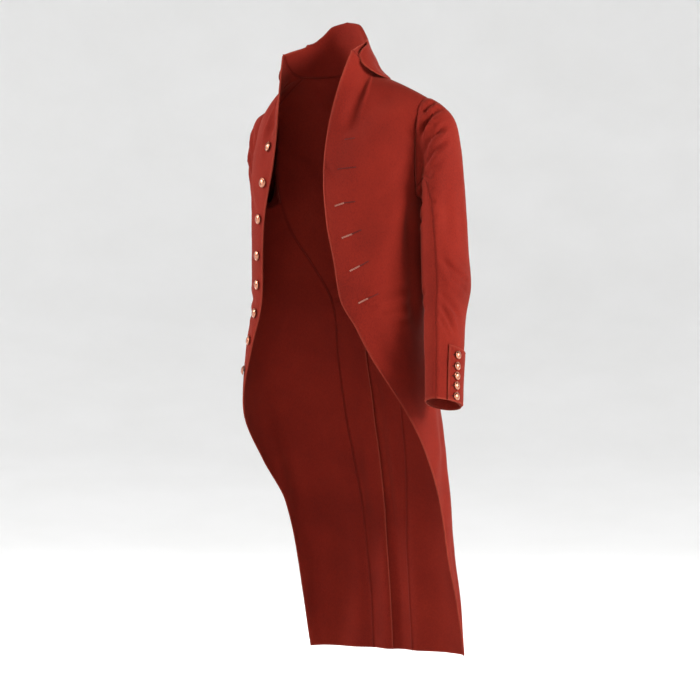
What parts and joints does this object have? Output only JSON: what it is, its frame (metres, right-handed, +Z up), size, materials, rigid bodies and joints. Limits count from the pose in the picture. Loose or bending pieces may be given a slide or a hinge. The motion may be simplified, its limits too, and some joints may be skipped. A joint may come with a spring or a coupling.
{
  "type": "cutaway frock coat",
  "caption": "Red wool cutaway frock coat with a high turned-down collar, long curved sleeves, metal buttons and narrow open tails, shaped as it is worn.",
  "frame": {"origin": "the base of the wearer's neck, level with the side of the neck seam, where the worn coat hangs from the shoulders", "axes": "+Z up the standing wearer, -Y out of the wearer's chest, +X to the wearer's left"},
  "size_m": [0.5113, 0.3362, 1.1542],
  "materials": {
    "wool": "warm red milled wool broadcloth with a soft short nap",
    "button_metal": "domed gilt metal, worn and shiny"
  },
  "bodies": {
    "root": {"left_front": "wool", "left_back": "wool", "left_top_sleeve": "wool", "left_under_sleeve": "wool", "right_front": "wool", "right_back": "wool", "right_top_sleeve": "wool", "right_under_sleeve": "wool", "collar": "wool", "left_cuff_button_1": "button_metal", "left_cuff_button_2": "button_metal", "left_cuff_button_3": "button_metal", "left_cuff_button_4": "button_metal", "left_cuff_button_5": "button_metal", "right_cuff_button_1": "button_metal", "right_cuff_button_2": "button_metal", "right_cuff_button_3": "button_metal", "right_cuff_button_4": "button_metal", "right_cuff_button_5": "button_metal", "front_button_1": "button_metal", "front_button_2": "button_metal", "front_button_3": "button_metal", "front_button_4": "button_metal", "front_button_5": "button_metal", "front_button_6": "button_metal", "front_button_7": "button_metal", "front_button_8": "button_metal"}
  },
  "joints": []
}
